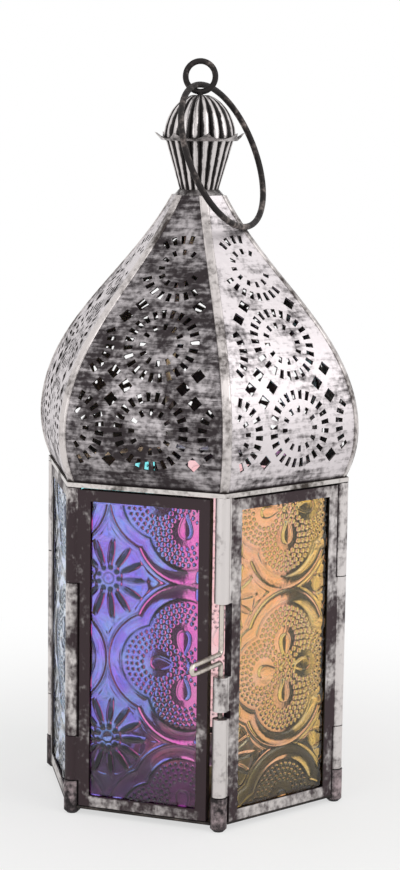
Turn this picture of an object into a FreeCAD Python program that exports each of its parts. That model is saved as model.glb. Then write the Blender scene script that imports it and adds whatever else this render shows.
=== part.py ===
import FreeCAD, Part
import math
import os

from FreeCAD import Vector

os.makedirs("parts", exist_ok=True)

# Six-sided candle lantern of pierced tin and pressed coloured glass.
# Millimetres, +Z up. The origin is the middle of the footprint, on the surface it stands on.

# Plan: six panels between six corner pins
side_length = 50.0           # from one corner pin to the next
corner_count = 6
door_panel = 0               # panels are counted round from the door, to the right
latch_panel = 1              # the panel whose left edge carries the latch wire

# Heights
foot_height = 11.0
foot_lift = 2.0              # feet stand this far below the base plate
base_thickness = 0.8
wall_height = 104.0          # base plate to eave
shadow_gap = 0.8             # between the frames and the eave
eave_thickness = 1.4
dome_height = 89.0

# Folded channel frames and their glass
sheet = 0.5                  # tin sheet of the frames
glass_thickness = 2.2
glass_fit = 0.05             # each face of the glass to its channel
glass_edge_gap = 0.3
channel_width = 3.5          # face of a channel, from its outer edge to the window
frame_clear = 0.25           # frame edge to the foot beside it
door_clear = 0.9             # more room at the free edge of the door
door_gap = 0.3               # under the door

# Knuckles, pins and feet
tube_radius = 2.4
pin_radius = 0.8
running_clearance = 0.08     # wire to the bore round it
knuckle_gap = 0.3
knuckle_low = 26.0           # the middle knuckle of a corner starts here
knuckle_high = 76.0          # and ends here
foot_margin = 0.25           # foot past the tube above it
foot_bevel = 1.0             # under a foot
foot_floor = 1.5             # metal under the pin
plate_clearance = 0.1        # base plate to foot

# Latch wire with its hairpin lever
lever_height = 56.0          # middle of the hairpin
window_below = 6.0           # open corner below the hairpin
window_above = 17.5          # open corner above the hairpin
latch_tube_length = 11.0     # tube under the open corner
latch_slot = 2.5             # between that tube and the lowest one
lever_reach = 19.0           # tip of the hairpin from the pin
lever_spread = 2.8           # between the two legs of the hairpin
lever_bend = 1.4             # radius where the wire leaves the corner
lever_angle = 80.0           # from the face of the door

# Candle cup
candle_radius = 19.0         # tealight
candle_clearance = 0.4
cup_wall = 0.6
cup_depth = 8.0
cup_floor = 0.8

# Eave ring
eave_overhang = 0.6          # past the face of the frames
eave_width = 5.0

# Dome: distance of a face from the axis, and height above the eave
dome_sheet = 0.6
dome_inset = 0.9             # foot of the dome behind the edge of the eave
bulge_out = 3.2              # bulge past the foot of the dome
bulge_height = 17.5
shoulder_in = 1.0            # shoulder behind the foot of the dome
shoulder_height = 35.0
flank_in = 13.45             # flank and throat, behind the foot and below the neck
flank_drop = 33.5
throat_in = 27.15
throat_drop = 15.5
neck_reach = 8.0
seam_width = 3.0
seam_depth = 1.7
seam_drop = 0.15             # seam strip below the sharp corner
seam_round = 0.6

# Piercing of a dome petal, laid out on the flat sheet
rosette_pitch = 27.8
first_rosette = 18.6         # along the sheet from its foot
pattern_shift = 2.3          # rosettes stand to the right of the middle of the petal
rosette_rows = 3
outer_slots = 24
outer_slot_start = 9.4
outer_slot_end = 12.4
outer_slot_width = 1.6
inner_slots = 12
inner_slot_start = 5.2
inner_slot_end = 7.3
inner_slot_width = 1.4
slot_taper = 0.8             # inner end of a slot, as a share of its width
cluster_spread = 4.4         # four diamonds between rosettes
diamond_half = 2.4
punch_stroke = 0.8           # past both faces of the sheet
petal_border = 1.8           # plain metal along the seams
petal_foot_border = 3.0
petal_top_border = 7.0

# Finial: two fluted cups and a pointed flange on a wire eye
collar_height = 1.8
cup_foot_radius = 6.4
lower_cup_height = 15.6
lower_cup_radius = 11.0
flange_sheet = 0.6
flange_radius = 14.8
flange_rise = 2.6
flange_points = 8
flange_bite = 2.0            # depth of the hollow between two points
upper_cup_radius = 11.7
upper_cup_height = 14.2
upper_cup_top = 2.6          # radius where the eye stands
upper_cup_steps = 4
flute_count = 20
flute_depth = 0.11           # share of the radius
eye_radius = 4.85            # to the middle of the wire
eye_wire = 0.95
eye_seat = 0.1               # eye above the finial
rivet_radius = 1.9
rivet_height = 1.0
washer_radius = 5.0
washer_thickness = 0.8

# Carry ring, loose in the eye
ring_radius = 24.0           # to the middle of the wire
ring_wire = 1.0
ring_gap = 0.3               # ring wire to the bottom of the eye
ring_turn = 52.0             # direction of its hinge line, from X

# Worked out from the sizes above
half_angle = math.pi / corner_count
turn_angle = 360.0 / corner_count
apothem = side_length / 2 / math.tan(half_angle)
post_radius = side_length / 2 / math.sin(half_angle)
half_channel = glass_thickness / 2 + glass_fit + sheet
bore_radius = pin_radius + running_clearance
foot_radius = tube_radius + foot_margin
frame_setback = foot_radius + frame_clear
door_setback = frame_setback + door_clear
latch_tube_high = lever_height - window_below
latch_tube_low = latch_tube_high - latch_tube_length
latch_foot_high = latch_tube_low - latch_slot
latch_top_low = lever_height + window_above
base_top = foot_lift + base_thickness
wall_top = base_top + wall_height
frame_top = wall_top - shadow_gap
eave_reach = apothem + half_channel + eave_overhang
dome_foot = wall_top + eave_thickness
foot_reach = eave_reach - dome_inset
neck_level = dome_foot + dome_height
collar_top = neck_level + collar_height
flange_level = collar_top + lower_cup_height
upper_level = flange_level + flange_sheet
upper_cup_sweep = math.acos(upper_cup_top / upper_cup_radius)
finial_top = upper_level + upper_cup_height * math.sin(upper_cup_sweep)
eye_level = finial_top + eye_seat + eye_wire + eye_radius
seam_half = seam_width / 2
up = Vector(0, 0, 1)


def save(name, shape):
    shape.exportStep("parts/" + name + ".step")


def turned(shape, degrees):
    copy = shape.copy()
    copy.rotate(Vector(0, 0, 0), up, degrees)
    return copy


def panel_turn(index):
    # a panel is drawn facing -Y and turned to its place, the door to the left of the front corner
    return (index - 0.5) * turn_angle


def box(left, right, front, back, bottom, top):
    return Part.makeBox(right - left, back - front, top - bottom, Vector(left, front, bottom))


def cylinder(radius, x, y, bottom, top):
    return Part.makeCylinder(radius, top - bottom, Vector(x, y, bottom))


def hexagon(reach, bottom, top):
    corner = reach / math.cos(half_angle)
    angles = [-math.pi / 2 + 2 * half_angle * k for k in range(corner_count + 1)]
    points = [Vector(corner * math.cos(a), corner * math.sin(a), bottom) for a in angles]
    return Part.Face(Part.makePolygon(points)).extrude(Vector(0, 0, top - bottom))


def revolve(points):
    # points are radius and height, closed round the axis
    wire = Part.makePolygon([Vector(r, 0, z) for r, z in points + points[:1]])
    return Part.Face(wire).revolve(Vector(0, 0, 0), up, 360)


def frame(left, right, bottom, top):
    front = -apothem - half_channel
    back = -apothem + half_channel
    rim = box(left, right, front, back, bottom, top)
    lip = channel_width
    window = box(left + lip, right - lip, front, back, bottom + lip, top - lip)
    inner = box(left + sheet, right - sheet, front + sheet, back - sheet, bottom + sheet, top - sheet)
    return rim.cut([window, inner])


def glass_pane(left, right, bottom, top):
    inset = sheet + glass_edge_gap
    half = glass_thickness / 2
    return box(left + inset, right - inset, -apothem - half, -apothem + half, bottom + inset, top - inset)


def with_knuckles(rim, hand, setback, spans):
    # hand is -1 for the left edge and 1 for the right edge, seen from outside
    post = hand * side_length / 2
    edge = post - hand * setback
    front = -apothem - half_channel
    added = []
    bores = []
    for bottom, top in spans:
        added.append(cylinder(tube_radius, post, -apothem, bottom, top))
        added.append(box(min(edge, post), max(edge, post), front, front + sheet, bottom, top))
        bores.append(cylinder(bore_radius, post, -apothem, bottom, top))
    return rim.fuse(added).cut(bores).removeSplitter()


def panel(index):
    is_door = index == door_panel
    left = -side_length / 2 + frame_setback
    right = side_length / 2 - (door_setback if is_door else frame_setback)
    bottom = base_top + (door_gap if is_door else 0)
    rim = frame(left, right, bottom, frame_top)
    low = foot_height + knuckle_gap
    outer_spans = [(low, knuckle_low - knuckle_gap), (knuckle_high, wall_top - knuckle_gap)]
    latch_spans = [(low, latch_foot_high), (latch_tube_low, latch_tube_high), (latch_top_low, wall_top)]
    rim = with_knuckles(rim, -1, frame_setback, latch_spans if index == latch_panel else outer_spans)
    if not is_door:
        rim = with_knuckles(rim, 1, frame_setback, [(knuckle_low, knuckle_high - knuckle_gap)])
    pane = glass_pane(left, right, bottom, frame_top)
    return turned(rim, panel_turn(index)), turned(pane, panel_turn(index))


def foot():
    body = cylinder(foot_radius, 0, -post_radius, 0, foot_height)
    rim = [edge for edge in body.Edges if edge.Closed and edge.CenterOfMass.z < foot_floor]
    body = body.makeChamfer(foot_bevel, rim)
    return body.cut(cylinder(bore_radius, 0, -post_radius, foot_floor, foot_height))


def corner_pin():
    return cylinder(pin_radius, 0, -post_radius, foot_floor, wall_top)


def base_plate():
    plate = hexagon(apothem + half_channel, foot_lift, base_top)
    hole = foot_radius + plate_clearance
    notch = cylinder(hole, 0, -post_radius, foot_lift, base_top)
    return plate.cut([turned(notch, turn_angle * k) for k in range(corner_count)])


def candle_cup():
    inner = candle_radius + candle_clearance
    outer = inner + cup_wall
    floor = base_top + cup_floor
    rim = floor + cup_depth
    return revolve([(0, base_top), (outer, base_top), (outer, rim), (inner, rim), (inner, floor), (0, floor)])


def latch():
    # one wire: down through the upper tube, out and back as a hairpin, down through the lower tubes
    heading = math.radians(lever_angle - 180 - turn_angle / 2)
    out = Vector(math.cos(heading), math.sin(heading), 0)
    post = Vector(0, -post_radius, 0)
    half = lever_spread / 2
    upper = lever_height + half
    lower = lever_height - half
    tip = lever_reach - half - pin_radius
    near = lever_bend * (1 - math.sqrt(0.5))

    def at(along, height):
        return post + out * along + up * height

    def bend(first, middle, last):
        return Part.Arc(first, middle, last).toShape()

    top = at(0, wall_top - knuckle_gap)
    runs = [
        Part.makeLine(top, at(0, upper + lever_bend)),
        bend(at(0, upper + lever_bend), at(near, upper + near), at(lever_bend, upper)),
        Part.makeLine(at(lever_bend, upper), at(tip, upper)),
        bend(at(tip, upper), at(tip + half, lever_height), at(tip, lower)),
        Part.makeLine(at(tip, lower), at(lever_bend, lower)),
        bend(at(lever_bend, lower), at(near, lower - near), at(0, lower - lever_bend)),
        Part.makeLine(at(0, lower - lever_bend), at(0, foot_floor + knuckle_gap)),
    ]
    section = Part.Wire(Part.makeCircle(pin_radius, top, up))
    return Part.Wire(runs).makePipeShell([section], True, False)


def eave():
    ring = hexagon(eave_reach, wall_top, dome_foot)
    return ring.cut(hexagon(eave_reach - eave_width, wall_top, dome_foot))


def spline(points):
    curve = Part.BSplineCurve()
    curve.interpolate(points)
    return curve


def dome_points(scale):
    # the sheet's outer face: out to a bulge, in along a straight flank, hollow towards the neck
    outline = [
        (foot_reach, 0),
        (foot_reach + bulge_out, bulge_height),
        (foot_reach - shoulder_in, shoulder_height),
        (foot_reach - flank_in, dome_height - flank_drop),
        (foot_reach - throat_in, dome_height - throat_drop),
        (neck_reach, dome_height),
    ]
    return [Vector(0, -reach * scale, dome_foot + height) for reach, height in outline]


def sunk(points, depth):
    # the same curve moved into the metal, level at its foot and at its top
    curve = spline(points)
    moved = []
    for point in points:
        along = curve.tangent(curve.parameter(point))[0]
        inward = Vector(0, along.z, -along.y)
        if point in (points[0], points[-1]):
            inward = Vector(0, 1 / along.z, 0)
        moved.append(point + inward * depth)
    return moved


def dome_section(scale, outer_depth, inner_depth):
    outer = sunk(dome_points(scale), outer_depth)
    inner = sunk(dome_points(scale), inner_depth)
    edges = [
        spline(outer).toShape(),
        Part.makeLine(outer[-1], inner[-1]),
        spline(inner).toShape(),
        Part.makeLine(inner[0], outer[0]),
    ]
    return Part.Face(Part.Wire(Part.__sortEdges__(edges)))


def drawn_across(section, half_width):
    start = section.copy()
    start.translate(Vector(-half_width, 0, 0))
    return start.extrude(Vector(2 * half_width, 0, 0))


def petal_blank():
    # the curved sheet between two seam strips
    far = foot_reach + bulge_out + seam_width
    tip = seam_half / math.sin(half_angle)
    half_far = (far - tip) * math.tan(half_angle)
    plan = [(0, -tip), (half_far, -far), (-half_far, -far), (0, -tip)]
    outline = Part.makePolygon([Vector(x, y, dome_foot) for x, y in plan])
    wedge = Part.Face(outline).extrude(up * dome_height)
    return drawn_across(dome_section(1, 0, dome_sheet), half_far).common(wedge)


def seam_strip():
    # a bar along the corner of the dome, with its two outer edges rounded
    bar = drawn_across(dome_section(1 / math.cos(half_angle), seam_drop, seam_drop + seam_depth), seam_half)
    lengthwise = [edge for edge in bar.Edges if edge.Length > dome_height]
    outer = sorted(lengthwise, key=lambda edge: edge.CenterOfMass.y)[:2]
    return bar.makeFillet(seam_round, outer)


def slot(across, along, angle, start, end, width):
    # a radial slot, a little narrower at its inner end
    wide = width / 2
    narrow = wide * slot_taper
    corners = [(start, -narrow), (end, -wide), (end, wide), (start, narrow)]
    c = math.cos(angle)
    s = math.sin(angle)
    return [(across + r * c - w * s, along + r * s + w * c) for r, w in corners]


def rosette(across, along):
    outlines = []
    for k in range(outer_slots):
        angle = 2 * math.pi * (k + 0.5) / outer_slots
        outlines.append(slot(across, along, angle, outer_slot_start, outer_slot_end, outer_slot_width))
    for k in range(inner_slots):
        angle = 2 * math.pi * k / inner_slots
        outlines.append(slot(across, along, angle, inner_slot_start, inner_slot_end, inner_slot_width))
    return outlines


def cluster(across, along):
    outlines = []
    for side, rise in ((1, 0), (0, 1), (-1, 0), (0, -1)):
        u = across + side * cluster_spread
        s = along + rise * cluster_spread
        h = diamond_half
        outlines.append([(u + h, s), (u, s + h), (u - h, s), (u, s - h)])
    return outlines


def sheet_pattern():
    # rosettes on a square lattice, with a cluster of diamonds in the middle of each square
    outlines = []
    for row in range(-1, rosette_rows):
        for column in range(-2, 3):
            across = column * rosette_pitch + pattern_shift
            along = first_rosette + row * rosette_pitch
            outlines += rosette(across, along)
            outlines += cluster(across + rosette_pitch / 2, along + rosette_pitch / 2)
    return outlines


def petal():
    edge = spline(dome_points(1)).toShape()
    tip = seam_half / math.sin(half_angle)

    def place(along):
        where = edge.getParameterByLength(along)
        return edge.valueAt(where), edge.tangentAt(where)

    def inside(outline):
        for across, along in outline:
            if along < petal_foot_border or along > edge.Length - petal_top_border:
                return False
            half_width = (-place(along)[0].y - tip) * math.tan(half_angle)
            if abs(across) > half_width - petal_border:
                return False
        return True

    def punch(outline):
        # straight through the sheet, square to it at the middle of the hole
        middle = sum(along for across, along in outline) / len(outline)
        point, tangent = place(middle)
        outward = Vector(0, -tangent.z, tangent.y)
        start = point + outward * punch_stroke
        corners = [start + Vector(across, 0, 0) + tangent * (along - middle) for across, along in outline]
        face = Part.Face(Part.makePolygon(corners + corners[:1]))
        return face.extrude(outward * (-2 * punch_stroke - dome_sheet))

    return petal_blank().cut([punch(outline) for outline in sheet_pattern() if inside(outline)])


def shank_hole(bottom, top):
    return cylinder(eye_wire + running_clearance, 0, 0, bottom, top)


def neck_collar():
    outline = [(0, neck_level), (neck_reach, neck_level), (cup_foot_radius, collar_top), (0, collar_top)]
    return revolve(outline).cut(shank_hole(neck_level, collar_top))


def fluted(sections, bottom, top):
    # rounded ribs side by side: each section is a ring of arcs from groove to groove
    def at(radius, step, level):
        angle = math.pi * step / flute_count
        return Vector(radius * math.cos(angle), radius * math.sin(angle), level)

    rings = []
    for radius, level in sections:
        groove = radius * (1 - flute_depth)
        arcs = []
        for k in range(0, 2 * flute_count, 2):
            arc = Part.Arc(at(groove, k - 1, level), at(radius, k, level), at(groove, k + 1, level))
            arcs.append(arc.toShape())
        rings.append(Part.Wire(arcs))
    return Part.makeLoft(rings, True).cut(shank_hole(bottom, top))


def finial_lower():
    return fluted([(cup_foot_radius, collar_top), (lower_cup_radius, flange_level)], collar_top, flange_level)


def finial_upper():
    steps = [upper_cup_sweep * k / upper_cup_steps for k in range(upper_cup_steps + 1)]
    sections = [(upper_cup_radius * math.cos(t), upper_level + upper_cup_height * math.sin(t)) for t in steps]
    return fluted(sections, upper_level, finial_top)


def finial_flange():
    flat = upper_cup_radius + flange_sheet
    rim = flange_level + flange_rise
    inner = flat - flange_sheet / 2
    bore = eye_wire + running_clearance
    dish = revolve([
        (bore, flange_level),
        (flat, flange_level),
        (flange_radius, rim),
        (flange_radius - flange_sheet, rim),
        (inner, upper_level),
        (bore, upper_level),
    ])
    half_chord = flange_radius * math.sin(math.pi / flange_points)
    bite_radius = (half_chord ** 2 + flange_bite ** 2) / (2 * flange_bite)
    bite = Part.makeCylinder(
        bite_radius, flange_radius - flat, Vector(flat, 0, rim - flange_bite + bite_radius), Vector(1, 0, 0)
    )
    turns = [360 * (k + 0.5) / flange_points for k in range(flange_points)]
    return dish.cut([turned(bite, turn) for turn in turns])


def eye():
    loop = Part.makeTorus(eye_radius, eye_wire, Vector(0, 0, eye_level), Vector(0, 1, 0))
    rivet_top = neck_level - washer_thickness
    shank = cylinder(eye_wire, 0, 0, rivet_top, eye_level - eye_radius)
    head = cylinder(rivet_radius, 0, 0, rivet_top - rivet_height, rivet_top)
    return loop.fuse([shank, head])


def eye_washer():
    bottom = neck_level - washer_thickness
    return cylinder(washer_radius, 0, 0, bottom, neck_level).cut(shank_hole(bottom, neck_level))


def carry_ring(lean):
    # the ring turns about its own wire where it hangs in the eye
    turn = math.radians(ring_turn)
    hinge = Vector(math.cos(turn), math.sin(turn), 0)
    side = Vector(math.sin(turn), -math.cos(turn), 0)
    hang = side * math.sin(lean) - up * math.cos(lean)
    hook = Vector(0, 0, eye_level - eye_radius + eye_wire + ring_gap + ring_wire)
    return Part.makeTorus(ring_radius, ring_wire, hook + hang * ring_radius, hinge.cross(hang))


def resting_lean():
    # lean out from straight down, by halving, until the ring clears the dome by its gap
    dome = Part.makeCompound(
        [turned(petal_blank(), panel_turn(k)) for k in range(corner_count)]
        + [turned(seam_strip(), turn_angle * k) for k in range(corner_count)]
    )
    halvings = 14
    low = 0.0
    high = math.pi / 2
    for step in range(halvings):
        middle = (low + high) / 2
        if carry_ring(middle).distToShape(dome)[0] < ring_gap:
            low = middle
        else:
            high = middle
    return high


places = ["left_front", "right_front", "right", "right_back", "left_back", "left"]
for index, place in enumerate(places):
    rim, pane = panel(index)
    name = "door" if index == door_panel else place
    save(name + "_frame", rim)
    save(name + "_glass", pane)

pierced = petal()
for index, place in enumerate(places):
    save("dome_petal_" + place, turned(pierced, panel_turn(index)))

# corners are counted round from the front one, whose pin is the latch wire; the last one has the door's hinge
corners = ["front", "right_front", "right_back", "back", "left_back", "left_front"]
for k, corner in enumerate(corners):
    save("foot_" + corner, turned(foot(), turn_angle * k))
    save("dome_seam_" + corner, turned(seam_strip(), turn_angle * k))
for k in range(1, corner_count):
    name = "door_hinge_pin" if k == corner_count - 1 else "corner_pin_" + corners[k]
    save(name, turned(corner_pin(), turn_angle * k))

lean = resting_lean()
print("carry ring leans", round(math.degrees(lean), 3), "degrees from straight down")

save("base_plate", base_plate())
save("candle_cup", candle_cup())
save("latch_wire", latch())
save("eave_ring", eave())
save("neck_collar", neck_collar())
save("finial_lower_cup", finial_lower())
save("finial_flange", finial_flange())
save("finial_upper_cup", finial_upper())
save("eye", eye())
save("eye_washer", eye_washer())
save("carry_ring", carry_ring(lean))
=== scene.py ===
import math
from functools import partial

import bpy
import numpy as np
from mathutils import Matrix, Vector


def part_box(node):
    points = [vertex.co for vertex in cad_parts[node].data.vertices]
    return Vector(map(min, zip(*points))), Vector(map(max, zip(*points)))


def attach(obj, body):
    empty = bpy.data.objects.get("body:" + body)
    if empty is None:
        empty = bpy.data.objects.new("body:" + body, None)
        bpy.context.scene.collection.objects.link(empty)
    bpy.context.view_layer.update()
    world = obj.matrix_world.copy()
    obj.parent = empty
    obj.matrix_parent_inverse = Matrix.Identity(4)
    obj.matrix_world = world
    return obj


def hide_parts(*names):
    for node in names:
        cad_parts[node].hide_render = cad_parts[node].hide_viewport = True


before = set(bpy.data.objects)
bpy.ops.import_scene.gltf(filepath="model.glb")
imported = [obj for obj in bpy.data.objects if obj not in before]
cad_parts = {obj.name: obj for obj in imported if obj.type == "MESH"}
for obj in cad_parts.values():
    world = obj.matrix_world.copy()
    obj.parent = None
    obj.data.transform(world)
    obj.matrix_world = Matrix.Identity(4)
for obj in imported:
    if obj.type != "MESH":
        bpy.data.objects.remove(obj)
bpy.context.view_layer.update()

bl_info = {
    "name": "Candle lantern",
    "version": (1, 0, 0),
    "blender": (4, 5, 0),
    "location": "3D View > Sidebar > Lantern",
    "description": "Six-sided candle lantern of antiqued tin with pressed coloured glass",
    "category": "Object",
}

MM = 0.001
SIDES = 6
PANEL_REACH = 43.3013 * MM      # axis to the middle of a pane
POST_REACH = 50.0 * MM          # axis to a corner pin
RIBS = 20                       # ribs round the finial

# each pane: the body that it rides on, its turn about the axis in degrees, the property with its colour, the
# middle of a quatrefoil, in millimetres from the middle of the pane and from the floor, and the strength of
# the painted shade in its creases
PANES = {
    "door_glass": ("door", -30.0, "door_colour", (13.1, 52.5), 0.95),
    "right_front_glass": ("lantern", 30.0, "right_front_colour", (1.0, 49.0), 0.26),
    "right_glass": ("lantern", 90.0, "right_colour", (-9.0, 55.0), 0.4),
    "right_back_glass": ("lantern", 150.0, "right_back_colour", (6.0, 47.0), 0.6),
    "left_back_glass": ("lantern", 210.0, "left_back_colour", (-4.0, 58.0), 0.6),
    "left_glass": ("lantern", 270.0, "left_colour", (10.0, 50.0), 0.5),
}

# each petal: how bright its rubbed metal is and the share that the patina covers, which differ petal by petal
# as painted light and shade, the right front lit and the left front shaded, and the painted shade at its foot
PETALS = {
    "left_front": (0.72, 0.57, 0.0),
    "right_front": (1.0, 0.31, 0.12),
    "right": (0.87, 0.38, 0.12),
    "right_back": (0.74, 0.46, 0.1),
    "left_back": (0.74, 0.46, 0.1),
    "left": (0.95, 0.37, 0.1),
}

# each frame: the share that the patina covers; the door's frame gets the most, as a painted shade on that
# side
FRAMES = {
    "door": 0.82,
    "right_front": 0.62,
    "right": 0.68,
    "right_back": 0.72,
    "left_back": 0.72,
    "left": 0.6,
}
CORNERS = ("front", "right_front", "right_back", "back", "left_back", "left_front")

# the pressed pattern, as shares of its pitch
LOBE_REACH = 0.175              # middle of a quatrefoil to the centre of a lobe
BAND_INNER = 0.237              # centre of a lobe to the inner edge of its band
BAND_OUTER = 0.322              # centre of a lobe to the outer edge of its band

# the pressed pattern, in millimetres unless a comment says otherwise; a line has two values, its distance
# from an edge or a middle and half its width
BAND_SHIFT = 0.1                # crest of the band, outward of the middle between its edges
BAND_MARGIN = 0.2               # foot of the band, inside each edge
BAND_POWER = 0.6                # power of the band's arch: below 1, its crest is broad
INNER_LINE = (-0.1, 0.65)       # painted shade along the inner edge of the band
OUTER_LINE = (0.35, 0.5)        # painted shade along its outer edge
RIM_LINE = (1.3, 0.7)           # low rim outside the band
PIT_RINGS = (1.75, 3.45, 5.15, 6.85)    # rows of pits, inward of the band
PIT_LIMIT = 0.7                 # no pit comes nearer to the band
PIT_SPACING = 1.9
PIT_RADIUS = 0.55
PIT_EDGE = 0.9                  # where a pit is half as deep, as a share of its radius
PIT_SOFT = 0.7                  # width of its slope, as a share of its radius
DROP_START = 3.6                # root of a drop, from the middle of the quatrefoil
DROP_LENGTH = 7.4
DROP_HALF_WIDTH = 1.9
DROP_TAPER = 1.8                # power of the place along a drop: above 1, it is widest near its outer end
DROP_ROUND = 2.3                # radius across its back
DROP_EDGE = -0.15               # below 0, the slope of a drop begins outside its outline
DROP_SOFT = 0.9                 # width of that slope
DROP_LEAST = 0.1                # half width at which a drop ends
DROP_LINE = (0.2, 0.5)          # painted shade round a drop
DROP_LINE_LEAST = 0.3           # half width of the drop at which that painted shade ends
BOSS_RADIUS = 2.1               # boss in the middle of a quatrefoil
BOSS_LINE = (2.3, 0.6)          # painted shade round it
FIELD_EDGE = 1.8                # ground of the daisies, outward of the band
FIELD_SOFT = 0.8
DAISY_PETALS = 13               # how many
DAISY_REACH = 8.7               # middle of a daisy to the middle of a petal
DAISY_PETAL = (4.6, 1.05)       # half its length and half its width
DAISY_EYES = 9                  # how many small pits lie round the button of a daisy
EYE_REACH = 3.5
EYE_RADIUS = 0.95
FAN_START = (4.7, 1.0)          # raised ground between the petals, and the width of its slope
FAN_END = (12.4, 1.8)
BUTTON_RADIUS = 1.6             # button in the middle of a daisy
BUTTON_LINE = (1.8, 0.5)        # painted shade round it
BUTTON_SPOT = 0.7               # radius of the painted dark spot on it
WAVE_START = (13.0, 3.0)        # wavy ground outside the daisies, and the width of its slope
WAVE_ACROSS = 0.95              # radians for each millimetre across
WAVE_UP = 0.5                   # radians for each millimetre up
WAVE_BEND = 2.1                 # how far the waves lean to and fro, in radians
WAVE_CREST = (0.75, 0.4)        # height, -1 to 1, at which a wave takes painted shade, and the width of its slope

# how far each form of the pattern stands out of the ground or goes in, as a share of the relief
RISE = {
    "band": 0.95, "rim": 0.4, "pit": -0.6, "boss": 0.8,
    "fan": 0.65, "petal": -1.0, "eye": -0.4, "button": 0.6, "wave": 0.2,
}
# how much painted shade each form takes
CREASE_SHADE = {
    "band inside": 0.95, "band outside": 0.6, "pit": 0.85, "drop": 0.6, "boss": 0.5,
    "petal": 0.95, "eye": 0.9, "button line": 0.6, "button": 0.45, "wave": 0.25,
}

# how a pane lies in its frame
CHANNEL_COVER = (3.1, 0.8)      # millimetres of the pane's edge without relief, and the width of the slope
GROUND_DEPTH = 0.55             # share of the relief that the ground lies under the CAD pane's face

# the glass
GLASS_IOR = 1.52
GLASS_DEPTH = 1.35              # power of the colour where the relief is thick
HAZE_SIZE = 7 * MM              # thin milky haze
SHADE_PATCH_SIZE = 6 * MM              # patches of the painted shade in the creases
RIPPLE_SIZE = 2.2 * MM          # uneven skin from the plate
RIPPLE_DEPTH = 0.15 * MM
CREASE_SHADE_STRENGTH = 2.8            # painted shade in a crease of a pane whose crease shade is 1

# the metal
BLOT_SIZE = 11 * MM             # blotches of patina
SPECK_SIZE = 1.6 * MM           # fine specks of patina
SPECK_SHARE = 0.6               # weight of the specks against streaks and blotches
CORNER_REACH = 4 * MM           # how far patina comes out of a corner
FILM_LEVEL = 1.3                # mean of streaks, blotches and specks added up
FILM_SOFT = 0.24                # half the width of the change from rubbed metal to patina
PATINA_ROUGHNESS = 0.62
PATINA_METALLIC = 0.4
SOOT_THIN = 6.0                 # brightness of thin soot against thick soot
DENT_DEPTH = 0.25 * MM
ROUND_THE_DOME = (1.0, 1.0, 9.0)        # streaks that run round, short in height
ALONG_A_SEAM = (1.0, 1.0, 0.5)          # streaks that run up, long in height
ALONG_A_FRAME = (1.0, 1.0, 0.35)
ALONG_A_WIRE = (1.0, 1.0, 0.2)

# where the frames lose patina, and how much: a painted highlight along the tubes and paler bottom rails;
# under the eave they gain it, a painted shade
TUBE_EDGE = (2.5 * MM, 2.75 * MM)       # from a corner pin: the tubes lie inside
TUBE_HIGHLIGHT = 0.36
TUBE_PATCH_SIZE = 16 * MM                     # patches where the painted highlight on a tube is weaker
TUBE_PATCH_STRETCH = (1.0, 1.0, 0.45)
RAIL_EDGE = (6.1 * MM, 6.6 * MM)        # from the floor: the bottom rails lie below
STILE_EDGE = (6.2 * MM, 7.0 * MM)       # from a corner pin: the rails lie outside
RAIL_PALE = 0.22
UNDER_EAVE = (4.5 * MM, 3.0 * MM)       # below the eave: the upper rails lie above
UNDER_EAVE_SHADE = 0.03
PETAL_FOOT = (4.0 * MM, 8.0 * MM)       # above the eave: the foot of a petal lies below
RIB_RUB = 0.5                           # on the ridges of the finial, and as much dirt in its grooves
RIB_LIFT = 0.02                         # all over the ribs

# the stage, in metres apart from the sensor
FLOOR_HALF = 3.0
SHADOW_REACH = (0.06, 0.24)             # from the axis: the floor shows its shadow inside
SHADOW_WHITE = 0.62                     # share of plain white in the floor under the lantern
KEY_PLACE = (0.62, -0.55, 0.62)
KEY_SIZE = 1.0
FILL_PLACE = (-0.7, -0.6, 0.45)
FILL_SIZE = 0.9
FILL_SHARE = 0.42                       # power of the fill light against the key light
LAMP_AIM = (0.0, 0.0, 0.12)
SENSOR_HEIGHT = 36.0                    # millimetres, as the lens
CLIP_START = 0.01                       # nearest thing that the camera shows


def linear(code):
    """An sRGB hex colour as linear red, green, blue and alpha."""
    values = [int(code[i:i + 2], 16) / 255 for i in (1, 3, 5)]
    return [v / 12.92 if v <= 0.04045 else ((v + 0.055) / 1.055) ** 2.4 for v in values] + [1.0]


def paint(colour, share=1.0):
    """A colour property as red, green, blue and alpha, with its brightness scaled."""
    return [share * value for value in colour] + [1.0]


def add(tree, kind, inputs=None, **settings):
    """Add a node, set its own settings, then link each input that is a socket and fill the others."""
    node = tree.nodes.new(kind)
    for name, value in settings.items():
        setattr(node, name, value)
    for name, value in (inputs or {}).items():
        if isinstance(value, bpy.types.NodeSocket):
            tree.links.new(value, node.inputs[name])
        else:
            node.inputs[name].default_value = value
    return node


def new_material(name):
    """A node material with only its shader, its output and its Object coordinates."""
    material = bpy.data.materials.new(name)
    material.use_nodes = True
    tree = material.node_tree
    tree.nodes.clear()
    shader = add(tree, "ShaderNodeBsdfPrincipled")
    add(tree, "ShaderNodeOutputMaterial", {"Surface": shader.outputs["BSDF"]})
    place = add(tree, "ShaderNodeTexCoord").outputs["Object"]
    return material, tree, shader, place


def dress(material, *nodes):
    """Give CAD nodes a material, in the slots of their objects."""
    for name in nodes:
        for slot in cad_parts[name].material_slots:
            slot.link = "OBJECT"
            slot.material = material


def show(mesh, body, node):
    """Put a mesh into the scene as a piece that rides on a body and stands for a CAD node."""
    piece = bpy.data.objects.new(mesh.name, mesh)
    bpy.context.scene.collection.objects.link(piece)
    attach(piece, body)
    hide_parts(node)


def smooth_step(edge, soft, value):
    """0 below an edge and 1 above it, with a smooth change of the given width."""
    t = np.clip((value - edge) / soft + 0.5, 0.0, 1.0)
    return t * t * (3 - 2 * t)


def ridge(value, middle, half):
    """A rounded ridge of height 1 across a line where value equals middle."""
    t = np.clip(np.abs(value - middle) / half, 0.0, 1.0)
    return (1 - t * t) ** 2


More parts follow.
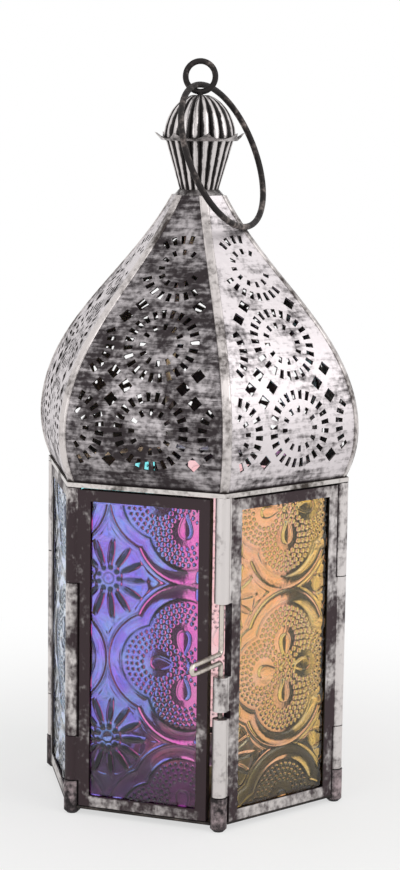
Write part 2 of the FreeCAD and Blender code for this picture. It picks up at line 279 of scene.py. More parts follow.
def pits_round(distance, angle, ring, count, length, width):
    """Pits spaced evenly on a ring: ellipses with one axis along the radius and one along the arc."""
    step = angle * count / (2 * math.pi)
    across = (step - np.round(step)) * 2 * math.pi * distance / count
    return smooth_step(-PIT_EDGE, PIT_SOFT, -np.hypot((distance - ring) / length, across / width))


def quatrefoil(u, v, pitch):
    """Rise and painted crease shade of a quatrefoil, and how far each point lies outside its band, in
    millimetres.

    All of it follows from the distance to the nearest of four lobe centres: a rounded band far out with a
    low rim outside it, then rows of pits on rings round the lobe's centre. On the lobe's axis lies a raised
    drop, whose half width is the root of a sine along it, and in the middle stands a boss.
    """
    reach = LOBE_REACH * pitch
    inner = BAND_INNER * pitch
    outer = BAND_OUTER * pitch
    lobes = np.array([(1, 0), (0, 1), (-1, 0), (0, -1)]) * reach
    away = np.stack([np.hypot(u - a, v - b) for a, b in lobes])
    nearest = away.argmin(axis=0)
    distance = away.min(axis=0)
    angle = np.arctan2(v - lobes[nearest, 1], u - lobes[nearest, 0])
    crest = (inner + outer) / 2 + BAND_SHIFT
    half_band = (outer - inner) / 2 - BAND_MARGIN
    band = np.clip(1 - ((distance - crest) / half_band) ** 2, 0.0, 1.0) ** BAND_POWER
    height = RISE["band"] * band + RISE["rim"] * ridge(distance, outer + RIM_LINE[0], RIM_LINE[1])
    grime = CREASE_SHADE["band inside"] * ridge(distance, inner + INNER_LINE[0], INNER_LINE[1])
    grime += CREASE_SHADE["band outside"] * ridge(distance, outer + OUTER_LINE[0], OUTER_LINE[1])
    inside = distance < inner - PIT_LIMIT
    for gap in PIT_RINGS:
        ring = inner - gap
        count = round(2 * math.pi * ring / PIT_SPACING)
        pit = pits_round(distance, angle, ring, count, PIT_RADIUS, PIT_RADIUS) * inside
        height += RISE["pit"] * pit
        grime += CREASE_SHADE["pit"] * pit

    axis_u = lobes[nearest, 0] / reach
    axis_v = lobes[nearest, 1] / reach
    out = u * axis_u + v * axis_v
    side = np.abs(u * axis_v - v * axis_u)
    along = np.clip((out - DROP_START) / DROP_LENGTH, 0.0, 1.0)
    half = DROP_HALF_WIDTH * np.sqrt(np.clip(np.sin(math.pi * along ** DROP_TAPER), 0.0, 1.0))
    drop = smooth_step(DROP_EDGE, DROP_SOFT, half - side) * (half > DROP_LEAST)
    height = height * (1 - drop) + drop * np.sqrt(np.clip(1 - (side / DROP_ROUND) ** 2, 0.0, 1.0))
    line = ridge(side - half, *DROP_LINE) * (half > DROP_LINE_LEAST)
    grime = grime * (1 - drop) + CREASE_SHADE["drop"] * line
    middle = np.hypot(u, v)
    height += RISE["boss"] * ridge(middle, 0.0, BOSS_RADIUS)
    grime += CREASE_SHADE["boss"] * ridge(middle, *BOSS_LINE)
    return height, grime, distance - outer


def daisy(u, v, pitch):
    """Rise and painted crease shade of the daisy in the middle of each square of quatrefoils, and of the
    ground round it.

    Long pits are spread round its middle like petals on a raised fan, each an ellipse in radius and arc
    length. A ring of small pits lies round a button. The ground further out is a sine across the pane,
    whose phase is a sine up the pane.
    """
    cell_u = u - pitch / 2 * np.sign(u)
    cell_v = v - pitch / 2 * np.sign(v)
    far = np.hypot(cell_u, cell_v)
    turn = np.arctan2(cell_v, cell_u)
    petal = pits_round(far, turn, DAISY_REACH, DAISY_PETALS, *DAISY_PETAL)
    eyes = pits_round(far, turn, EYE_REACH, DAISY_EYES, EYE_RADIUS, EYE_RADIUS)
    fan = smooth_step(*FAN_START, far) * (1 - smooth_step(*FAN_END, far))
    wave = np.sin(WAVE_ACROSS * u + WAVE_BEND * np.sin(WAVE_UP * v)) * smooth_step(*WAVE_START, far)
    height = RISE["fan"] * fan + RISE["petal"] * petal + RISE["eye"] * eyes
    height += RISE["button"] * ridge(far, 0.0, BUTTON_RADIUS) + RISE["wave"] * wave
    grime = CREASE_SHADE["petal"] * petal + CREASE_SHADE["eye"] * eyes
    grime += CREASE_SHADE["button line"] * ridge(far, *BUTTON_LINE) + CREASE_SHADE["button"] * ridge(far, 0.0, BUTTON_SPOT)
    grime += CREASE_SHADE["wave"] * smooth_step(*WAVE_CREST, wave)
    return height, grime


def pressed_pattern(u, v, pitch):
    """Rise of the pressed pattern and the painted shade in its creases, for points in millimetres from a
    quatrefoil.

    Quatrefoils stand on a square lattice, and a daisy in the middle of each square: both coordinates are
    folded into one cell, and the daisy's field begins outside the band.
    """
    u = u - pitch * np.round(u / pitch)
    v = v - pitch * np.round(v / pitch)
    height, grime, outside = quatrefoil(u, v, pitch)
    daisy_height, daisy_crease_shade = daisy(u, v, pitch)
    field = smooth_step(FIELD_EDGE, FIELD_SOFT, outside)
    return height + field * daisy_height, np.clip(grime + field * daisy_crease_shade, 0.0, 1.0)


def node_span(name, direction):
    """Least and greatest distance of a CAD node along a direction, in millimetres."""
    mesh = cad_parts[name].data
    values = np.empty(len(mesh.vertices) * 3)
    mesh.vertices.foreach_get("co", values)
    along = values.reshape(-1, 3) @ direction / MM
    return along.min(), along.max()


def pane_mesh(name, turn, centre, settings):
    """A pane as a height field: the pressed pattern stands out of the outer face, the inner face is flat.

    The grid runs across and up the pane, and its height fades to nothing under the channels. The border of
    the grid is carried straight back to the inner face, which closes the sheet.
    """
    low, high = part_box(name)
    tangent = np.array([math.cos(math.radians(turn)), math.sin(math.radians(turn)), 0.0])
    outward = np.array([math.sin(math.radians(turn)), -math.cos(math.radians(turn)), 0.0])
    left, right = node_span(name, tangent)
    bottom, top = low[2] / MM, high[2] / MM
    step = settings.grid_step / MM
    across = np.linspace(left, right, int((right - left) / step) + 1)
    up = np.linspace(bottom, top, int((top - bottom) / step) + 1)
    u, v = np.meshgrid(across, up)
    height, grime = pressed_pattern(u - centre[0], v - centre[1], settings.pattern_pitch / MM)
    margin = np.minimum(np.minimum(u - left, right - u), np.minimum(v - bottom, top - v))
    fade = smooth_step(*CHANNEL_COVER, margin)
    face = settings.pane_thickness / 2 - settings.relief * GROUND_DEPTH + settings.relief * height * fade
    points = u[..., None] * MM * tangent + (PANEL_REACH + face)[..., None] * outward
    points[..., 2] = v * MM

    index = np.arange(u.size).reshape(u.shape)
    quads = np.stack([index[:-1, :-1], index[:-1, 1:], index[1:, 1:], index[1:, :-1]], axis=-1)
    quads = quads.reshape(-1, 4)
    border = np.concatenate([index[0, :-1], index[:-1, -1], index[-1, :0:-1], index[:0:-1, 0]])
    rim = points.reshape(-1, 3)[border]
    back = rim - (rim @ outward - PANEL_REACH + settings.pane_thickness / 2)[:, None] * outward
    ring = u.size + np.arange(len(border))
    sides = np.stack([border, ring, np.roll(ring, -1), np.roll(border, -1)], axis=-1)
    faces = quads.tolist() + sides.tolist() + [ring[::-1].tolist()]
    mesh = bpy.data.meshes.new(name.replace("_glass", "_pressed_glass"))
    mesh.from_pydata(np.concatenate([points.reshape(-1, 3), back]), [], faces)
    mesh.polygons.foreach_set("use_smooth", np.arange(len(faces)) < len(quads))
    for label, values in (("grime", grime * fade), ("rise", height * fade)):
        layer = mesh.attributes.new(label, "FLOAT", "POINT")
        layer.data.foreach_set("value", np.append(values, np.zeros(len(border))).astype(np.float32))
    return mesh


def pressed_glass(name, colour, shade_strength):
    """Soda-lime glass coloured in the melt and pressed on a patterned plate.

    It shows clear saturated colour against the light, deeper where the relief is thick, with a soft gloss,
    a thin milky haze in patches and a patchy dark painted shade in the creases of the pattern.
    """
    material, tree, shader, place = new_material(name)
    rise = add(tree, "ShaderNodeAttribute", attribute_name="rise").outputs["Fac"]
    grime = add(tree, "ShaderNodeAttribute", attribute_name="grime").outputs["Fac"]
    deep = [value ** GLASS_DEPTH for value in colour] + [1.0]
    body = add(tree, "ShaderNodeMix", {"Factor": rise, "A": paint(colour), "B": deep}, data_type="RGBA")
    haze = add(tree, "ShaderNodeTexNoise", {
        "Vector": place, "Scale": 1 / HAZE_SIZE, "Detail": 5.0, "Roughness": 0.65,
    }).outputs["Fac"]
    veil = add(tree, "ShaderNodeMapRange", {
        "Value": haze, "From Min": 0.42, "From Max": 0.75, "To Min": 0.0, "To Max": 0.45,
    })
    milky = add(tree, "ShaderNodeMix", {
        "Factor": veil.outputs["Result"], "A": body.outputs["Result"], "B": linear("#f4f2f6"),
    }, data_type="RGBA")
    # painted shade in the creases: the crease mask, broken into patches by noise, darkens the colour to near
    # black
    painted_shade = add(tree, "ShaderNodeTexNoise", {"Vector": place, "Scale": 1 / SHADE_PATCH_SIZE, "Detail": 4.0})
    crease = add(tree, "ShaderNodeMath", {0: grime, 1: painted_shade.outputs["Fac"]}, operation="MULTIPLY")
    shade_amount = add(tree, "ShaderNodeMath", {
        0: crease.outputs["Value"], 1: shade_strength * CREASE_SHADE_STRENGTH,
    }, operation="MULTIPLY", use_clamp=True)
    shaded_colour = add(tree, "ShaderNodeMix", {
        "Factor": shade_amount.outputs["Value"], "A": milky.outputs["Result"], "B": linear("#17101c"),
    }, data_type="RGBA")
    dull = add(tree, "ShaderNodeMapRange", {"Value": haze, "To Min": 0.0, "To Max": 0.2})
    ripple = add(tree, "ShaderNodeTexNoise", {"Vector": place, "Scale": 1 / RIPPLE_SIZE, "Detail": 2.0})
    bump = add(tree, "ShaderNodeBump", {
        "Height": ripple.outputs["Fac"], "Strength": 0.25, "Distance": RIPPLE_DEPTH,
    })
    tree.links.new(shaded_colour.outputs["Result"], shader.inputs["Base Color"])
    tree.links.new(dull.outputs["Result"], shader.inputs["Roughness"])
    tree.links.new(bump.outputs["Normal"], shader.inputs["Normal"])
    shader.inputs["Transmission Weight"].default_value = 1.0
    shader.inputs["IOR"].default_value = GLASS_IOR
    return material


def antiqued_tin(
        tin, name, bright, patina, cover,
        streak=(1.0, 1.0, 1.0), grain=14.0, shine=0.3, zone=None, soot=False):
    """Tin-plated steel sheet, blackened and then rubbed back by hand.

    Rubbed metal shows a soft grey gloss, and brown-black patina stays in streaks, blotches and corners.
    cover is the share left dark, streak stretches the streaks, grain is the streak size in millimetres,
    shine is the roughness of the rubbed metal, zone may give a socket whose value takes patina away, and
    soot blackens the faces turned to the flame.
    """
    material, tree, shader, place = new_material(name)
    stretch = add(tree, "ShaderNodeMapping", {"Vector": place, "Scale": streak})
    lines = add(tree, "ShaderNodeTexNoise", {
        "Vector": stretch.outputs["Vector"], "Scale": 1 / (grain * MM), "Detail": 8.0, "Roughness": 0.7,
    }).outputs["Fac"]
    blots = add(tree, "ShaderNodeTexNoise", {"Vector": place, "Scale": 1 / BLOT_SIZE, "Detail": 5.0})
    specks = add(tree, "ShaderNodeTexNoise", {
        "Vector": place, "Scale": 1 / SPECK_SIZE, "Detail": 3.0,
    }).outputs["Fac"]
    coarse = add(tree, "ShaderNodeMath", {0: lines, 1: blots.outputs["Fac"]}, operation="ADD")
    mixed = add(tree, "ShaderNodeMath", {
        0: specks, 1: SPECK_SHARE, 2: coarse.outputs["Value"],
    }, operation="MULTIPLY_ADD").outputs["Value"]
    corner = add(tree, "ShaderNodeAmbientOcclusion", {"Distance": CORNER_REACH}, samples=6)
    dark = add(tree, "ShaderNodeMapRange", {
        "Value": corner.outputs["AO"], "From Min": 0.35, "From Max": 0.95, "To Min": 0.5, "To Max": 0.0,
    })
    total = add(tree, "ShaderNodeMath", {0: mixed, 1: dark.outputs["Result"]}, operation="ADD")
    if zone is not None:
        total = add(tree, "ShaderNodeMath", {
            0: total.outputs["Value"], 1: zone(tree, place),
        }, operation="SUBTRACT")
    edge = FILM_LEVEL + tin.wear - cover
    film = add(tree, "ShaderNodeMapRange", {
        "Value": total.outputs["Value"], "From Min": edge - FILM_SOFT, "From Max": edge + FILM_SOFT,
    }, interpolation_type="SMOOTHSTEP").outputs["Result"]
    colour = add(tree, "ShaderNodeMix", {
        "Factor": film, "A": bright, "B": patina,
    }, data_type="RGBA").outputs["Result"]
    if soot:
        inner = turned_to_the_flame(tree, place)
        film = add(tree, "ShaderNodeMath", {0: film, 1: inner}, operation="MAXIMUM").outputs["Value"]
        thin = add(tree, "ShaderNodeMapRange", {"Value": mixed, "From Min": 1.0, "From Max": 1.6})
        smoke = add(tree, "ShaderNodeMix", {
            "Factor": thin.outputs["Result"],
            "A": paint(tin.soot_colour), "B": paint(tin.soot_colour, SOOT_THIN),
        }, data_type="RGBA")
        colour = add(tree, "ShaderNodeMix", {
            "Factor": inner, "A": colour, "B": smoke.outputs["Result"],
        }, data_type="RGBA").outputs["Result"]
    gloss = add(tree, "ShaderNodeMapRange", {"Value": film, "To Min": shine, "To Max": PATINA_ROUGHNESS})
    metal = add(tree, "ShaderNodeMapRange", {"Value": film, "To Min": 1.0, "To Max": PATINA_METALLIC})
    dents = add(tree, "ShaderNodeMath", {0: specks, 1: lines}, operation="ADD")
    bump = add(tree, "ShaderNodeBump", {
        "Height": dents.outputs["Value"], "Strength": 0.3, "Distance": DENT_DEPTH,
    })
    tree.links.new(colour, shader.inputs["Base Color"])
    tree.links.new(gloss.outputs["Result"], shader.inputs["Roughness"])
    tree.links.new(metal.outputs["Result"], shader.inputs["Metallic"])
    tree.links.new(bump.outputs["Normal"], shader.inputs["Normal"])
    return material


def turned_to_the_flame(tree, place):
    """1 on faces that look towards the axis and 0 on the others: the normal against the way out."""
    normal = add(tree, "ShaderNodeTexCoord").outputs["Normal"]
    flat = add(tree, "ShaderNodeVectorMath", {0: place, 1: (1.0, 1.0, 0.0)}, operation="MULTIPLY")
    out = add(tree, "ShaderNodeVectorMath", {0: flat.outputs["Vector"]}, operation="NORMALIZE")
    facing = add(tree, "ShaderNodeVectorMath", {
        0: normal, 1: out.outputs["Vector"],
    }, operation="DOT_PRODUCT")
    inside = add(tree, "ShaderNodeMapRange", {
        "Value": facing.outputs["Value"], "From Min": -0.2, "From Max": 0.0, "To Min": 1.0, "To Max": 0.0,
    })
    return inside.outputs["Result"]


def tube_highlight_pale_rails_eave_shade(tree, place):
    """High on the rolled tubes, a painted highlight, and on the bottom rails, paler; low under the eave, a
    painted shade.

    The distance to the nearest corner pin comes from the angle folded into one of six sectors.
    """
    axes = add(tree, "ShaderNodeSeparateXYZ", {"Vector": place})
    x, y, z = (axes.outputs[i] for i in range(3))
    sector = 2 * math.pi / SIDES
    angle = add(tree, "ShaderNodeMath", {0: y, 1: x}, operation="ARCTAN2")
    turn = add(tree, "ShaderNodeMath", {
        0: angle.outputs["Value"], 1: math.pi / 2 + sector * SIDES,
    }, operation="ADD")
    fold = add(tree, "ShaderNodeMath", {
        0: turn.outputs["Value"], 1: sector / 2, 2: -sector / 2,
    }, operation="WRAP").outputs["Value"]
    flat = add(tree, "ShaderNodeCombineXYZ", {"X": x, "Y": y}).outputs["Vector"]
    reach = add(tree, "ShaderNodeVectorMath", {0: flat}, operation="LENGTH").outputs["Value"]
    sine = add(tree, "ShaderNodeMath", {0: fold}, operation="SINE").outputs["Value"]
    cosine = add(tree, "ShaderNodeMath", {0: fold}, operation="COSINE").outputs["Value"]
    side = add(tree, "ShaderNodeMath", {0: reach, 1: sine}, operation="MULTIPLY").outputs["Value"]
    depth = add(tree, "ShaderNodeMath", {0: reach, 1: cosine, 2: -POST_REACH}, operation="MULTIPLY_ADD")
    offset = add(tree, "ShaderNodeCombineXYZ", {"X": side, "Y": depth.outputs["Value"]}).outputs["Vector"]
    gap = add(tree, "ShaderNodeVectorMath", {0: offset}, operation="LENGTH").outputs["Value"]

    # painted highlight: the tubes lose patina, in patches, so that they read bright
    on_tube = add(tree, "ShaderNodeMapRange", {
        "Value": gap, "From Min": TUBE_EDGE[0], "From Max": TUBE_EDGE[1], "To Min": TUBE_HIGHLIGHT, "To Max": 0.0,
    })
    long = add(tree, "ShaderNodeMapping", {"Vector": place, "Scale": TUBE_PATCH_STRETCH})
    spots = add(tree, "ShaderNodeTexNoise", {
        "Vector": long.outputs["Vector"], "Scale": 1 / TUBE_PATCH_SIZE, "Detail": 7.0, "Roughness": 0.72,
    })
    patchy = add(tree, "ShaderNodeMapRange", {
        "Value": spots.outputs["Fac"], "From Min": 0.4, "From Max": 0.54, "To Min": 0.1, "To Max": 1.0,
    })
    tube = add(tree, "ShaderNodeMath", {
        0: on_tube.outputs["Result"], 1: patchy.outputs["Result"],
    }, operation="MULTIPLY")

    # paler along the bottom rails
    low = add(tree, "ShaderNodeMapRange", {
        "Value": z, "From Min": RAIL_EDGE[0], "From Max": RAIL_EDGE[1], "To Min": RAIL_PALE, "To Max": 0.0,
    })
    inward = add(tree, "ShaderNodeMapRange", {
        "Value": gap, "From Min": STILE_EDGE[0], "From Max": STILE_EDGE[1],
    })
    rail = add(tree, "ShaderNodeMath", {
        0: low.outputs["Result"], 1: inward.outputs["Result"],
    }, operation="MULTIPLY")
    both = add(tree, "ShaderNodeMath", {0: tube.outputs["Value"], 1: rail.outputs["Value"]}, operation="ADD")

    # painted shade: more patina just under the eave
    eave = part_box("eave_ring")[0][2]
    under = add(tree, "ShaderNodeMapRange", {
        "Value": z, "From Min": eave - UNDER_EAVE[0], "From Max": eave - UNDER_EAVE[1],
        "To Min": 0.0, "To Max": -UNDER_EAVE_SHADE,
    })
    # painted highlight and painted shade, with the paler rails, as one value that takes patina away
    rubbed = add(tree, "ShaderNodeMath", {
        0: both.outputs["Value"], 1: under.outputs["Result"],
    }, operation="ADD")
    return rubbed.outputs["Value"]


def shade_above_the_eave(tree, place, painted_shade):
    """Below zero on the foot of a petal, for a painted shade just above the eave, and 0 further up."""
    height = add(tree, "ShaderNodeSeparateXYZ", {"Vector": place}).outputs["Z"]
    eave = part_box("eave_ring")[1][2]
    foot = add(tree, "ShaderNodeMapRange", {
        "Value": height, "From Min": eave + PETAL_FOOT[0], "From Max": eave + PETAL_FOOT[1],
        "To Min": -painted_shade, "To Max": 0.0,
    })
    return foot.outputs["Result"]


def rubbed_ribs(tree, place):
    """High on the ridges of the finial and low in its grooves: a cosine of the angle round the axis."""
    axes = add(tree, "ShaderNodeSeparateXYZ", {"Vector": place})
    angle = add(tree, "ShaderNodeMath", {0: axes.outputs["Y"], 1: axes.outputs["X"]}, operation="ARCTAN2")
    wave = add(tree, "ShaderNodeMath", {0: angle.outputs["Value"], 1: RIBS}, operation="MULTIPLY")
    ridges = add(tree, "ShaderNodeMath", {0: wave.outputs["Value"]}, operation="COSINE")
    rubbed = add(tree, "ShaderNodeMath", {
        0: ridges.outputs["Value"], 1: RIB_RUB, 2: RIB_LIFT,
    }, operation="MULTIPLY_ADD")
    return rubbed.outputs["Value"]


class PaneSettings(bpy.types.PropertyGroup):
    """Sizes and colours of the pressed glass."""

    pane_thickness: bpy.props.FloatProperty(
        name="Thickness", description="Pane between its two faces", default=2.2 * MM, unit="LENGTH")
    relief: bpy.props.FloatProperty(
        name="Relief", description="Height of the pressed pattern", default=0.55 * MM, unit="LENGTH")
    pattern_pitch: bpy.props.FloatProperty(
        name="Pattern pitch", description="From one quatrefoil to the next", default=51.5 * MM, unit="LENGTH")
    grid_step: bpy.props.FloatProperty(
        name="Grid step", description="Spacing of the points of a pane", default=0.27 * MM, unit="LENGTH")
    # strength of the painted shade in the creases of the relief
    grime: bpy.props.FloatProperty(
        name="Crease shade", description="Dirt in the creases", default=1.0, subtype="FACTOR", min=0.0, max=1.0)
    door_colour: bpy.props.FloatVectorProperty(
        name="Door", description="Violet glass",
        default=linear("#f38af8")[:3], subtype="COLOR", size=3)
    right_front_colour: bpy.props.FloatVectorProperty(
        name="Right front", description="Amber glass",
        default=linear("#ffe79b")[:3], subtype="COLOR", size=3)
    right_colour: bpy.props.FloatVectorProperty(
        name="Right", description="Honey glass",
        default=linear("#ffe6b0")[:3], subtype="COLOR", size=3)
    right_back_colour: bpy.props.FloatVectorProperty(
        name="Right back", description="Rose glass",
        default=linear("#ffcacc")[:3], subtype="COLOR", size=3)
    left_back_colour: bpy.props.FloatVectorProperty(
        name="Left back", description="Turquoise glass",
        default=linear("#83f8ff")[:3], subtype="COLOR", size=3)
    left_colour: bpy.props.FloatVectorProperty(
        name="Left", description="Pale blue glass",
        default=linear("#b9c6ec")[:3], subtype="COLOR", size=3)


class TinSettings(bpy.types.PropertyGroup):
    """Colours and wear of the metal."""

    petal_colour: bpy.props.FloatVectorProperty(
        name="Petals", description="Rubbed metal of the dome",
        default=linear("#dbd4d6")[:3], subtype="COLOR", size=3)
    petal_patina: bpy.props.FloatVectorProperty(
        name="Petal patina", description="Dark film on the dome",
        default=linear("#2b2225")[:3], subtype="COLOR", size=3)
    frame_colour: bpy.props.FloatVectorProperty(
        name="Frames", description="Rubbed metal of the frames",
        default=linear("#d5cfcd")[:3], subtype="COLOR", size=3)
    frame_patina: bpy.props.FloatVectorProperty(
        name="Frame patina", description="Dark film on the frames",
        default=linear("#37292d")[:3], subtype="COLOR", size=3)
    finial_colour: bpy.props.FloatVectorProperty(
        name="Finial", description="Rubbed metal of the finial",
        default=linear("#d2cccb")[:3], subtype="COLOR", size=3)
    ring_colour: bpy.props.FloatVectorProperty(
        name="Ring", description="Bare wire of the eye and the carry ring",
        default=linear("#9d918c")[:3], subtype="COLOR", size=3)
    soot_colour: bpy.props.FloatVectorProperty(
        name="Soot", description="Faces turned to the flame",
        default=linear("#1a1614")[:3], subtype="COLOR", size=3)
    wear: bpy.props.FloatProperty(
        name="Wear", description="How much patina is rubbed off",
        default=0.5, subtype="FACTOR", min=0.0, max=1.0)


class StageSettings(bpy.types.PropertyGroup):
    """Camera and light."""

    distance: bpy.props.FloatProperty(
        name="Distance", description="Camera from the axis", default=0.717, unit="LENGTH")
    height: bpy.props.FloatProperty(
        name="Height", description="Camera above the floor", default=0.23035, unit="LENGTH")
    azimuth: bpy.props.FloatProperty(
        name="Azimuth", description="Camera to the left of the front corner",
        default=math.radians(10.2), subtype="ANGLE")
    yaw: bpy.props.FloatProperty(
        name="Yaw", description="View to the side of the axis", default=math.radians(-0.115), subtype="ANGLE")
    pitch: bpy.props.FloatProperty(
        name="Pitch", description="View below level", default=math.radians(8.866), subtype="ANGLE")
    roll: bpy.props.FloatProperty(
        name="Roll", description="Camera turned about its view", default=math.radians(0.811), subtype="ANGLE")
    lens: bpy.props.FloatProperty(
        name="Lens", description="Focal length on a sensor 36 mm high", default=91.28, min=1.0)
    key_power: bpy.props.FloatProperty(
        name="Key light", description="Large soft lamp at the right", default=3.2, unit="POWER")
    ambient: bpy.props.FloatProperty(
        name="Ambient", description="Light from all round on matt surfaces", default=0.6, min=0.0)


class LANTERN_OT_panes(bpy.types.Operator):
    """Press the six coloured panes"""

    bl_idname = "lantern.panes"
    bl_label = "Glass panes"

    def execute(self, context):
        settings = context.scene.lantern_panes
        for name, (body, turn, colour, centre, grime) in PANES.items():
            mesh = pane_mesh(name, turn, centre, settings)
            label = "Pressed glass " + colour.replace("_colour", "")
            glass = pressed_glass(label, getattr(settings, colour), grime * settings.grime)
            mesh.materials.append(glass)
            show(mesh, body, name)
        return {"FINISHED"}


class LANTERN_OT_dome(bpy.types.Operator):
    """Finish the pierced dome, its seams and the eave"""

    bl_idname = "lantern.dome"
    bl_label = "Dome"

    def execute(self, context):
        tin = context.scene.lantern_tin
        for side, (bright, cover, painted_shade) in PETALS.items():
            # rubbed round the dome, sooted inside; painted light and shade petal by petal, painted shade at
            # its foot
            sheet = antiqued_tin(
                tin, "Antiqued tin petal " + side, paint(tin.petal_colour, bright), paint(tin.petal_patina),
                cover, streak=ROUND_THE_DOME, shine=0.42, zone=partial(shade_above_the_eave, painted_shade=painted_shade),
                soot=True)
            dress(sheet, "dome_petal_" + side)
        # rubbed pale along the strip
        seams = antiqued_tin(
            tin, "Rubbed tin seam", linear("#d3ccca"), linear("#3d3431"), cover=0.38,
            streak=ALONG_A_SEAM, grain=8.0, shine=0.34)
        dress(seams, *["dome_seam_" + corner for corner in CORNERS])
        # rubbed pale, with brown blotches
        eave = antiqued_tin(
            tin, "Rubbed tin eave", linear("#d2ccc9"), linear("#3a322c"), cover=0.36, grain=10.0)
        dress(eave, "eave_ring")
        return {"FINISHED"}


class LANTERN_OT_frames(bpy.types.Operator):
    """Finish the channel frames, base, candle cup, washer, pins, latch and feet"""

    bl_idname = "lantern.frames"
    bl_label = "Frames"

    def execute(self, context):
        tin = context.scene.lantern_tin
        for panel, cover in FRAMES.items():
            # dark channels with painted tube highlights, paler bottom rails and painted shade under the eave,
            # sooted inside
            channel = antiqued_tin(
                tin, "Antiqued tin frame " + panel, paint(tin.frame_colour), paint(tin.frame_patina), cover,
                streak=ALONG_A_FRAME, grain=7.0, shine=0.34, zone=tube_highlight_pale_rails_eave_shade, soot=True)
            dress(channel, panel + "_frame")
        # never rubbed: dull and brown-grey
        base = antiqued_tin(
            tin, "Dull tin base", linear("#7a7069"), linear("#221c1a"), cover=0.64, shine=0.5)
        dress(base, "base_plate")
        # hardly blackened: pale, with thin brown blotches
        plate = antiqued_tin(tin, "Plain tin plate", linear("#cfccc7"), linear("#5a5048"), cover=0.2)
        dress(plate, "candle_cup", "eye_washer")
        # drawn through a die: bright lines along the wire, brown between them
        wire = antiqued_tin(
            tin, "Drawn steel wire", linear("#cfc6bd"), linear("#3b302a"), cover=0.35,
            streak=ALONG_A_WIRE, grain=5.0, shine=0.26)
        pins = [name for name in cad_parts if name.startswith("corner_pin")]
        dress(wire, "latch_wire", "door_hinge_pin", *pins)
        # small dark feet with a mottled rub
        feet = antiqued_tin(
            tin, "Blackened tin foot", linear("#b4a4a6"), linear("#1e1719"), cover=0.5, grain=4.0, shine=0.45)
        dress(feet, *["foot_" + corner for corner in CORNERS])
        return {"FINISHED"}


class LANTERN_OT_finial(bpy.types.Operator):
    """Finish the fluted finial, its flange, the collar, the eye and the carry ring"""

    bl_idname = "lantern.finial"
    bl_label = "Finial and ring"

    def execute(self, context):
        tin = context.scene.lantern_tin
        # bright ridges and black grooves
        ribs = antiqued_tin(
            tin, "Rubbed tin ribs", paint(tin.finial_colour), linear("#1c1616"), cover=0.6,
            grain=9.0, zone=rubbed_ribs)
        dress(ribs, "finial_lower_cup", "finial_upper_cup")
        # half rubbed, half black
        flange = antiqued_tin(
            tin, "Rubbed tin flange", paint(tin.finial_colour, share=0.9), linear("#241c1c"), cover=0.47,
            grain=5.0)
        dress(flange, "finial_flange", "neck_collar")
        # black film with small spots of bare wire
        wire = antiqued_tin(
            tin, "Blackened steel wire", paint(tin.ring_colour), linear("#1b1515"), cover=0.74,
            grain=4.0, shine=0.28)
        dress(wire, "eye", "carry_ring")
        return {"FINISHED"}


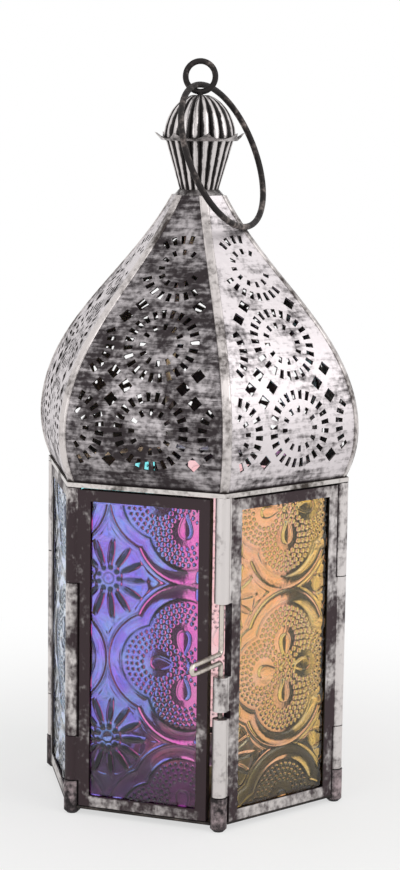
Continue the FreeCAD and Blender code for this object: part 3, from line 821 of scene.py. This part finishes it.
class LANTERN_OT_stage(bpy.types.Operator):
    """Set the floor, the light and the camera"""

    bl_idname = "lantern.stage"
    bl_label = "Stage"

    def execute(self, context):
        settings = context.scene.lantern_stage
        scene = context.scene
        scene.view_settings.view_transform = "Standard"
        self.floor(scene)
        self.world(scene, settings)
        self.lamp(scene, "Key light", KEY_PLACE, KEY_SIZE, settings.key_power)
        self.lamp(scene, "Fill light", FILL_PLACE, FILL_SIZE, settings.key_power * FILL_SHARE)
        self.camera(scene, settings)
        return {"FINISHED"}

    def seen(self, tree):
        """1 on rays that the eye follows: straight from the camera, off metal or through glass."""
        path = add(tree, "ShaderNodeLightPath")
        first = add(tree, "ShaderNodeMath", {
            0: path.outputs["Is Camera Ray"], 1: path.outputs["Is Glossy Ray"],
        }, operation="MAXIMUM")
        both = add(tree, "ShaderNodeMath", {
            0: first.outputs["Value"], 1: path.outputs["Is Transmission Ray"],
        }, operation="MAXIMUM")
        return both.outputs["Value"]

    def floor(self, scene):
        """A flat square of matt paper that shows its shadow near the lantern and plain white further out."""
        half = FLOOR_HALF
        corners = [(-half, -half, 0), (half, -half, 0), (half, half, 0), (-half, half, 0)]
        mesh = bpy.data.meshes.new("Floor")
        mesh.from_pydata(corners, [], [(0, 1, 2, 3)])
        floor = bpy.data.objects.new("Floor", mesh)
        scene.collection.objects.link(floor)
        material = bpy.data.materials.new("Pale paper floor")
        material.use_nodes = True
        tree = material.node_tree
        tree.nodes.clear()
        paper = add(tree, "ShaderNodeBsdfDiffuse", {"Color": linear("#f4f3f1")})
        glow = add(tree, "ShaderNodeEmission", {"Color": linear("#ffffff"), "Strength": 1.0})
        place = add(tree, "ShaderNodeTexCoord").outputs["Object"]
        reach = add(tree, "ShaderNodeVectorMath", {0: place}, operation="LENGTH").outputs["Value"]
        white = add(tree, "ShaderNodeMapRange", {
            "Value": reach, "From Min": SHADOW_REACH[0], "From Max": SHADOW_REACH[1],
            "To Min": SHADOW_WHITE, "To Max": 1.0,
        }, interpolation_type="SMOOTHSTEP")
        share = add(tree, "ShaderNodeMath", {
            0: self.seen(tree), 1: white.outputs["Result"],
        }, operation="MULTIPLY")
        mix = add(tree, "ShaderNodeMixShader", {
            0: share.outputs["Value"], 1: paper.outputs["BSDF"], 2: glow.outputs["Emission"],
        })
        add(tree, "ShaderNodeOutputMaterial", {"Surface": mix.outputs["Shader"]})
        mesh.materials.append(material)

    def world(self, scene, settings):
        """Plain white to the eye, and the ambient light on matt surfaces."""
        world = bpy.data.worlds.new("White studio")
        world.use_nodes = True
        tree = world.node_tree
        tree.nodes.clear()
        strength = add(tree, "ShaderNodeMapRange", {
            "Value": self.seen(tree), "To Min": settings.ambient, "To Max": 1.0,
        })
        sky = add(tree, "ShaderNodeBackground", {
            "Color": linear("#ffffff"), "Strength": strength.outputs["Result"],
        })
        add(tree, "ShaderNodeOutputWorld", {"Surface": sky.outputs["Background"]})
        scene.world = world

    def lamp(self, scene, name, place, size, power):
        """A soft round lamp that looks at the middle of the lantern."""
        data = bpy.data.lights.new(name, "AREA")
        data.shape = "DISK"
        data.size = size
        data.energy = power
        lamp = bpy.data.objects.new(name, data)
        lamp.location = place
        lamp.rotation_euler = (Vector(LAMP_AIM) - lamp.location).to_track_quat("-Z", "Y").to_euler()
        scene.collection.objects.link(lamp)

    def camera(self, scene, settings):
        """A camera at the photograph's angle: it looks ahead and down, and is rolled about its view."""
        data = bpy.data.cameras.new("Camera")
        data.sensor_fit = "VERTICAL"
        data.sensor_height = SENSOR_HEIGHT
        data.lens = settings.lens
        data.clip_start = CLIP_START
        camera = bpy.data.objects.new("Camera", data)
        scene.collection.objects.link(camera)
        stand = -math.pi / 2 - settings.azimuth
        look = stand + settings.yaw
        level = math.cos(settings.pitch)
        ahead = Vector((-math.cos(look) * level, -math.sin(look) * level, -math.sin(settings.pitch)))
        right = ahead.cross(Vector((0, 0, 1))).normalized()
        above = right.cross(ahead)
        turned_right = right * math.cos(settings.roll) + above * math.sin(settings.roll)
        turned_up = above * math.cos(settings.roll) - right * math.sin(settings.roll)
        axes = Matrix((turned_right, turned_up, -ahead)).transposed()
        camera.rotation_euler = axes.to_euler()
        out = settings.distance
        camera.location = (out * math.cos(stand), out * math.sin(stand), settings.height)
        scene.camera = camera


class LANTERN_PT_sidebar(bpy.types.Panel):
    """Sizes, colours and steps of the lantern"""

    bl_idname = "LANTERN_PT_sidebar"
    bl_label = "Candle lantern"
    bl_space_type = "VIEW_3D"
    bl_region_type = "UI"
    bl_category = "Lantern"

    def draw(self, context):
        scene = context.scene
        for group in (scene.lantern_panes, scene.lantern_tin, scene.lantern_stage):
            column = self.layout.column()
            for name in group.bl_rna.properties.keys():
                if name not in ("rna_type", "name"):
                    column.prop(group, name)
        for operator in OPERATORS:
            self.layout.operator(operator.bl_idname)


OPERATORS = (LANTERN_OT_panes, LANTERN_OT_dome, LANTERN_OT_frames, LANTERN_OT_finial, LANTERN_OT_stage)
CLASSES = (PaneSettings, TinSettings, StageSettings) + OPERATORS + (LANTERN_PT_sidebar,)


def register():
    for cls in CLASSES:
        bpy.utils.register_class(cls)
    bpy.types.Scene.lantern_panes = bpy.props.PointerProperty(type=PaneSettings)
    bpy.types.Scene.lantern_tin = bpy.props.PointerProperty(type=TinSettings)
    bpy.types.Scene.lantern_stage = bpy.props.PointerProperty(type=StageSettings)


def unregister():
    del bpy.types.Scene.lantern_panes
    del bpy.types.Scene.lantern_tin
    del bpy.types.Scene.lantern_stage
    for cls in reversed(CLASSES):
        bpy.utils.unregister_class(cls)


def main():
    register()
    bpy.ops.lantern.panes()
    bpy.ops.lantern.dome()
    bpy.ops.lantern.frames()
    bpy.ops.lantern.finial()
    bpy.ops.lantern.stage()


if __name__ == "__main__":
    main()
